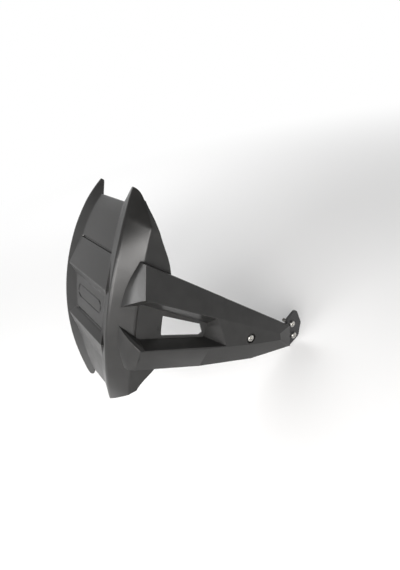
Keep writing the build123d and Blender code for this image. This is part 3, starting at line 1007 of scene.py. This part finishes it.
@dataclass
class ButtonScrew:
    """A socket button screw with a reduced shank, its head on the right."""

    head_radius: float = 5.25
    head_height: float = 3.3
    head_round: float = 1.4
    round_steps: int = 8
    socket_radius: float = 2.3
    socket_depth: float = 2.0
    ease: float = 0.3
    shank_radius: float = 2.7
    thread_radius: float = 3.0
    thread_depth: float = 0.55
    thread_rows: float = 9.0

    def build(
        self,
        place: tuple[float, float],
        under_head: float,
        shank: float,
        thread: float,
    ) -> bmesh.types.BMesh:
        """Builds one screw.

        Args:
            place: its Y and Z in the part's frame.
            under_head: where its head bears, along X.
            shank: length of its plain shank.
            thread: length of its thread.

        Returns:
            The closed form, in millimetres.
        """
        ease, hole, stem, edge = self.ease, self.socket_radius, self.shank_radius, self.head_radius
        top = self.head_height
        floor = top - self.socket_depth
        socket = [(0.0, floor - ease), (hole, floor), (hole, top - ease), (hole + ease, top)]
        bend = np.linspace(0.0, np.pi / 2, self.round_steps)
        across = edge - self.head_round + self.head_round * np.sin(bend)
        shoulder = np.stack([across, top - self.head_round * (1 - np.cos(bend))], axis=-1)
        under = [(edge, ease), (edge - ease, 0.0), (stem + ease, 0.0), (stem, -ease), (stem, -shank)]
        head = np.vstack([socket, shoulder, under])
        run = np.linspace(0.0, thread, int(thread * self.thread_rows))
        fade = smooth_step(0.0, 1.0, run) * smooth_step(0.0, 0.5, thread - run)
        chamfer = np.minimum(self.thread_radius, self.thread_radius - self.thread_depth + thread - run)
        radius = np.concatenate([head[:, 0], chamfer, [0.0]])
        height = np.concatenate([head[:, 1], -shank - run, [-shank - thread]])
        hexed = np.zeros(len(radius))
        hexed[1:3] = 1.0
        threaded = np.concatenate([np.zeros(len(head)), self.thread_depth * fade, [0.0]])
        return turned(radius, under_head + height, place, hexed, threaded)


@dataclass
class Nut:
    """A plain hexagon nut with its corners chamfered at both ends."""

    radius: float = 5.8
    height: float = 5.0
    bore: float = 3.05
    mouth: float = 3.4
    chamfer: float = 0.45
    chamfer_rows: int = 5

    def build(self, place: tuple[float, float], face: float) -> bmesh.types.BMesh:
        """Builds the nut.

        Args:
            place: its Y and Z in the part's frame.
            face: where it bears on the stay's back, along X.

        Returns:
            The closed form, in millimetres.
        """
        flat = self.radius * np.cos(np.pi / 6)
        down = np.linspace(0.0, self.chamfer, self.chamfer_rows)
        cone = flat + (self.radius - flat) * down / self.chamfer
        lip = self.mouth - self.bore
        sides = np.concatenate([down, self.height - down[::-1]])
        corners = np.full(len(sides), self.radius)
        radius = np.concatenate([[self.bore, self.mouth], corners, [self.mouth, self.bore, self.bore]])
        height = np.concatenate([[lip, 0.0], sides, [self.height, self.height - lip, lip]])
        limit = np.concatenate([[np.inf] * 2, cone, cone[::-1], [np.inf] * 3])
        hexed = np.concatenate([[0.0] * 2, np.ones(len(sides)), [0.0] * 3])
        return turned(radius, face - height, place, hexed, limit=limit)


class Grain(Enum):
    """The fine relief of a finish."""

    MOULDED = "moulded"
    COATED = "coated"
    DRAWN = "drawn"


@dataclass(frozen=True)
class Finish:
    """A surface finish: two linear colours that it is mottled between, its range of roughness and its relief.

    Sizes are in metres.
    """

    name: str
    colours: tuple[tuple[float, float, float], tuple[float, float, float]]
    roughness: tuple[float, float]
    mottle_size: float
    grain: Grain
    grain_size: float
    grain_depth: float
    metallic: float = 0.0
    specular: float = 0.32
    ior: float = 1.5
    mottle_detail: float = 4.0
    tint_stops: tuple[float, float] = (0.35, 0.65)
    gloss_stops: tuple[float, float] = (0.3, 0.7)
    grain_detail: float = 3.0
    drawn_stretch: tuple[float, float, float] = (1.0, 0.12, 0.12)
    bump_strength: float = 0.4

    def _grain(self, tree: bpy.types.NodeTree, place: bpy.types.NodeSocket) -> bpy.types.NodeSocket:
        """Makes the relief's height: leathery cells, soft lumps or fine drawn lines.

        Args:
            tree: the material's nodes.
            place: where to read it.

        Returns:
            The height.
        """
        if self.grain is Grain.MOULDED:
            relief = tree.nodes.new("ShaderNodeTexVoronoi")
            relief.feature = "SMOOTH_F1"
            height = relief.outputs["Distance"]
        else:
            relief = tree.nodes.new("ShaderNodeTexNoise")
            relief.inputs["Detail"].default_value = self.grain_detail
            height = relief.outputs["Fac"]
        relief.inputs["Scale"].default_value = 1.0 / self.grain_size
        if self.grain is Grain.DRAWN:
            stretch = tree.nodes.new("ShaderNodeMapping")
            stretch.inputs["Scale"].default_value = self.drawn_stretch
            tree.links.new(place, stretch.inputs["Vector"])
            place = stretch.outputs["Vector"]
        tree.links.new(place, relief.inputs["Vector"])
        return height

    def material(self) -> bpy.types.Material:
        """Makes the node material: mottled colour, varied roughness and a fine bump.

        Returns:
            The new material.
        """
        made = bpy.data.materials.new(self.name)
        made.use_nodes = True
        tree = made.node_tree
        shader = tree.nodes["Principled BSDF"]
        shader.inputs["IOR"].default_value = self.ior
        shader.inputs["Specular IOR Level"].default_value = self.specular
        shader.inputs["Metallic"].default_value = self.metallic
        place = tree.nodes.new("ShaderNodeTexCoord").outputs["Object"]
        mottle = tree.nodes.new("ShaderNodeTexNoise")
        mottle.inputs["Scale"].default_value = 1.0 / self.mottle_size
        mottle.inputs["Detail"].default_value = self.mottle_detail
        tree.links.new(place, mottle.inputs["Vector"])
        tint = tree.nodes.new("ShaderNodeValToRGB")
        for stop, position, colour in zip(tint.color_ramp.elements, self.tint_stops, self.colours):
            stop.position = position
            stop.color = (*colour, 1.0)
        tree.links.new(mottle.outputs["Fac"], tint.inputs["Fac"])
        tree.links.new(tint.outputs["Color"], shader.inputs["Base Color"])
        gloss = tree.nodes.new("ShaderNodeMapRange")
        gloss.inputs["From Min"].default_value, gloss.inputs["From Max"].default_value = self.gloss_stops
        gloss.inputs["To Min"].default_value, gloss.inputs["To Max"].default_value = self.roughness
        tree.links.new(mottle.outputs["Fac"], gloss.inputs["Value"])
        tree.links.new(gloss.outputs["Result"], shader.inputs["Roughness"])
        bump = tree.nodes.new("ShaderNodeBump")
        bump.inputs["Strength"].default_value = self.bump_strength
        bump.inputs["Distance"].default_value = self.grain_depth
        tree.links.new(self._grain(tree, place), bump.inputs["Height"])
        tree.links.new(bump.outputs["Normal"], shader.inputs["Normal"])
        return made


# The part's finishes
MOULDED_BLACK = Finish(
    name="moulded_black",
    colours=((0.0115, 0.0113, 0.011), (0.0155, 0.0152, 0.0148)),
    roughness=(0.3, 0.37),
    mottle_size=0.02,
    grain=Grain.MOULDED,
    grain_size=0.0007,
    grain_depth=0.00006,
)
POWDER_COAT = Finish(
    name="powder_coat",
    colours=((0.017, 0.017, 0.018), (0.024, 0.024, 0.025)),
    roughness=(0.42, 0.55),
    mottle_size=0.012,
    grain=Grain.COATED,
    grain_size=0.0014,
    grain_depth=0.00008,
)
SATIN_BLACK = Finish(
    name="satin_black",
    colours=((0.015, 0.015, 0.015), (0.024, 0.024, 0.024)),
    roughness=(0.35, 0.5),
    mottle_size=0.004,
    grain=Grain.COATED,
    grain_size=0.0008,
    grain_depth=0.00003,
)
STAINLESS = Finish(
    name="stainless",
    colours=((0.4, 0.39, 0.37), (0.5, 0.49, 0.465)),
    roughness=(0.24, 0.36),
    mottle_size=0.003,
    grain=Grain.DRAWN,
    grain_size=0.0003,
    grain_depth=0.00002,
    metallic=1.0,
)
ZINC = Finish(
    name="zinc",
    colours=((0.48, 0.48, 0.49), (0.6, 0.6, 0.62)),
    roughness=(0.3, 0.46),
    mottle_size=0.003,
    grain=Grain.COATED,
    grain_size=0.0006,
    grain_depth=0.00002,
    metallic=1.0,
)


@dataclass(frozen=True)
class SoftBox:
    """One soft lamp: its way from the part's middle, distance and size in metres, power and colour."""

    name: str
    way: tuple[float, float, float]
    distance: float
    size: tuple[float, float]
    power: float
    colour: tuple[float, float, float]


@dataclass
class Studio:
    """Camera, floor and soft light for one view of the part.

    The camera's place and axes give the photograph's angle, in the part's frame. Lengths are in metres.
    """

    eye: tuple[float, float, float] = (0.3477, -0.3366, 0.4132)
    right: tuple[float, float, float] = (0.5915, 0.7751, -0.2223)
    up: tuple[float, float, float] = (-0.3139, 0.4752, 0.8220)
    focal_px: float = 377.7
    frame_px: tuple[int, int] = (400, 570)
    sensor_mm: float = 36.0
    clip: tuple[float, float] = (0.01, 100.0)
    floor_gap: float = 0.002
    floor_size: float = 60.0
    floor_colour: tuple[float, float, float] = (0.92, 0.92, 0.92)
    floor_roughness: float = 0.9
    fade: tuple[float, float] = (0.4, 1.8)
    dusk: tuple[float, float] = (0.3, 0.7)
    overhead: float = 0.12
    middle: tuple[float, float, float] = (-0.09, -0.13, 0.13)
    lamps: tuple[SoftBox, ...] = (
        SoftBox("key", (0.73, -0.61, 0.3), 1.3, (0.6, 0.64), 18.0, (1.0, 0.98, 0.96)),
        SoftBox("back", (0.25, -0.90, 0.36), 1.3, (0.6, 0.4), 10.0, (1.0, 1.0, 1.0)),
        SoftBox("fill", (-0.8, 0.2, 0.5), 1.6, (1.2, 1.2), 11.0, (1.0, 1.0, 1.0)),
    )

    def build_camera(self) -> bpy.types.Object:
        """Makes the camera and gives it to the scene.

        Returns:
            The camera object.
        """
        data = bpy.data.cameras.new("camera")
        data.sensor_width = self.sensor_mm
        data.lens = self.focal_px * self.sensor_mm / max(self.frame_px)
        data.clip_start, data.clip_end = self.clip
        camera = bpy.data.objects.new("camera", data)
        side = Vector(self.right).normalized()
        back = side.cross(Vector(self.up)).normalized()
        upright = back.cross(side)
        turn = Matrix((side, upright, back)).transposed()
        camera.matrix_world = Matrix.Translation(self.eye) @ turn.to_4x4()
        bpy.context.scene.collection.objects.link(camera)
        bpy.context.scene.camera = camera
        return camera

    def build_floor(self, height: float) -> bpy.types.Object:
        """Makes the pale floor below the part.

        Args:
            height: the floor's height in metres.

        Returns:
            The floor, marked as stage.
        """
        half = self.floor_size / 2
        mesh = bpy.data.meshes.new("floor")
        corners = [(-half, -half, height), (half, -half, height), (half, half, height), (-half, half, height)]
        mesh.from_pydata(corners, [], [(0, 1, 2, 3)])
        floor = bpy.data.objects.new("floor", mesh)
        bpy.context.scene.collection.objects.link(floor)
        paint = bpy.data.materials.new("pale_floor")
        paint.use_nodes = True
        shader = paint.node_tree.nodes["Principled BSDF"]
        shader.inputs["Base Color"].default_value = (*self.floor_colour, 1.0)
        shader.inputs["Roughness"].default_value = self.floor_roughness
        self._fade(paint.node_tree, shader)
        mesh.materials.append(paint)
        floor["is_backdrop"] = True
        return floor

    def _fade(self, tree: bpy.types.NodeTree, paint: bpy.types.Node) -> None:
        """Fades the floor's paint into plain white with the distance from the part, so that no horizon shows.

        Args:
            tree: the floor's nodes.
            paint: the shader close to the part.
        """
        place = tree.nodes.new("ShaderNodeTexCoord")
        reach = tree.nodes.new("ShaderNodeVectorMath")
        reach.operation = "LENGTH"
        share = tree.nodes.new("ShaderNodeMapRange")
        share.interpolation_type = "SMOOTHSTEP"
        share.inputs["From Min"].default_value, share.inputs["From Max"].default_value = self.fade
        white = tree.nodes.new("ShaderNodeEmission")
        mix = tree.nodes.new("ShaderNodeMixShader")
        tree.links.new(place.outputs["Object"], reach.inputs[0])
        tree.links.new(reach.outputs["Value"], share.inputs["Value"])
        tree.links.new(share.outputs["Result"], mix.inputs["Fac"])
        tree.links.new(paint.outputs["BSDF"], mix.inputs[1])
        tree.links.new(white.outputs["Emission"], mix.inputs[2])
        tree.links.new(mix.outputs["Shader"], tree.nodes["Material Output"].inputs["Surface"])

    def build_world(self) -> None:
        """Makes the light from all around: white at the horizon, and dimmer overhead."""
        world = bpy.data.worlds.new("studio")
        world.use_nodes = True
        bpy.context.scene.world = world
        tree = world.node_tree
        place = tree.nodes.new("ShaderNodeTexCoord")
        parts = tree.nodes.new("ShaderNodeSeparateXYZ")
        sky = tree.nodes.new("ShaderNodeMapRange")
        sky.interpolation_type = "SMOOTHSTEP"
        sky.inputs["From Min"].default_value, sky.inputs["From Max"].default_value = self.dusk
        sky.inputs["To Min"].default_value = 1.0
        sky.inputs["To Max"].default_value = self.overhead
        tree.links.new(place.outputs["Generated"], parts.inputs["Vector"])
        tree.links.new(parts.outputs["Z"], sky.inputs["Value"])
        tree.links.new(sky.outputs["Result"], tree.nodes["Background"].inputs["Strength"])
        tree.nodes["Background"].inputs["Color"].default_value = (1.0, 1.0, 1.0, 1.0)

    def build_lamps(self) -> None:
        """Hangs the soft boxes, each turned to the part's middle."""
        for box in self.lamps:
            data = bpy.data.lights.new(box.name, "AREA")
            data.shape = "RECTANGLE"
            data.size, data.size_y = box.size
            data.energy = box.power
            data.color = box.colour
            lamp = bpy.data.objects.new(box.name, data)
            way = Vector(box.way).normalized()
            lamp.location = Vector(self.middle) + way * box.distance
            lamp.rotation_euler = way.to_track_quat("Z", "Y").to_euler()
            lamp.visible_camera = False
            bpy.context.scene.collection.objects.link(lamp)


@dataclass
class Hardware:
    """Stay, washer, screws and nut."""

    seat: ScrewSeat = ScrewSeat()
    screw: ButtonScrew = field(default_factory=ButtonScrew)
    nut: Nut = field(default_factory=Nut)
    mount_places: tuple[tuple[float, float], ...] = ((0.0, 12.0), (0.0, -12.0))
    mount_thread: float = 14.0
    arm_thread: float = 6.0
    stay_merge: float = 0.01
    stay_round: float = 0.5
    stay_steps: int = 2

    def build(self) -> None:
        """Builds the hardware's pieces in place of their CAD nodes, each with its finish."""
        seat = self.seat
        stainless = STAINLESS.material()
        arm_screw = self.screw.build(seat.place, seat.under_head, seat.under_head, self.arm_thread)
        face = seat.stay_face
        mounts = [self.screw.build(place, face, face, self.mount_thread) for place in self.mount_places]
        nut = self.nut.build(seat.place, 0.0)
        for name, forms, slot, node, material in (
            ("arm_button_screw", [arm_screw], "screws", "arm_screw", stainless),
            ("mount_button_screws", mounts, "screws", "mount_screws", stainless),
            ("hexagon_nut", [nut], "nut", "arm_nut", ZINC.material()),
            ("ring_washer", [seat.washer()], "washer", "cup_washer", SATIN_BLACK.material()),
            ("stay", [self._stay()], "stay", "stay_plate", POWDER_COAT.material()),
        ):
            piece = new_piece(name, forms, [node])
            piece.data.materials.append(material)

    def _stay(self) -> bmesh.types.BMesh:
        """Copies the CAD stay plate, merged, and eases its cut edges."""
        form = bmesh.new()
        form.from_mesh(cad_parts["stay_plate"].data)
        bmesh.ops.scale(form, vec=(1 / MM, 1 / MM, 1 / MM), verts=form.verts)
        bmesh.ops.remove_doubles(form, verts=form.verts, dist=self.stay_merge)
        round_edges(form, sharp_edges(form, SHARP_ANGLE), self.stay_round, self.stay_steps)
        return form


def main() -> None:
    """Builds the studio, the moulding and its hardware."""
    logging.basicConfig(level=logging.INFO, format="%(name)s %(message)s")
    bpy.context.scene.view_settings.view_transform = "Standard"
    cad_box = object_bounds()
    studio = Studio()
    studio.build_camera()
    studio.build_floor(cad_box[0].z - studio.floor_gap)
    studio.build_world()
    studio.build_lamps()
    moulding = new_piece("moulding", [GuardShell().build(), *Arm().build()], ["guard_moulding"])
    moulding.data.materials.append(MOULDED_BLACK.material())
    Hardware().build()


if __name__ == "__main__":
    main()
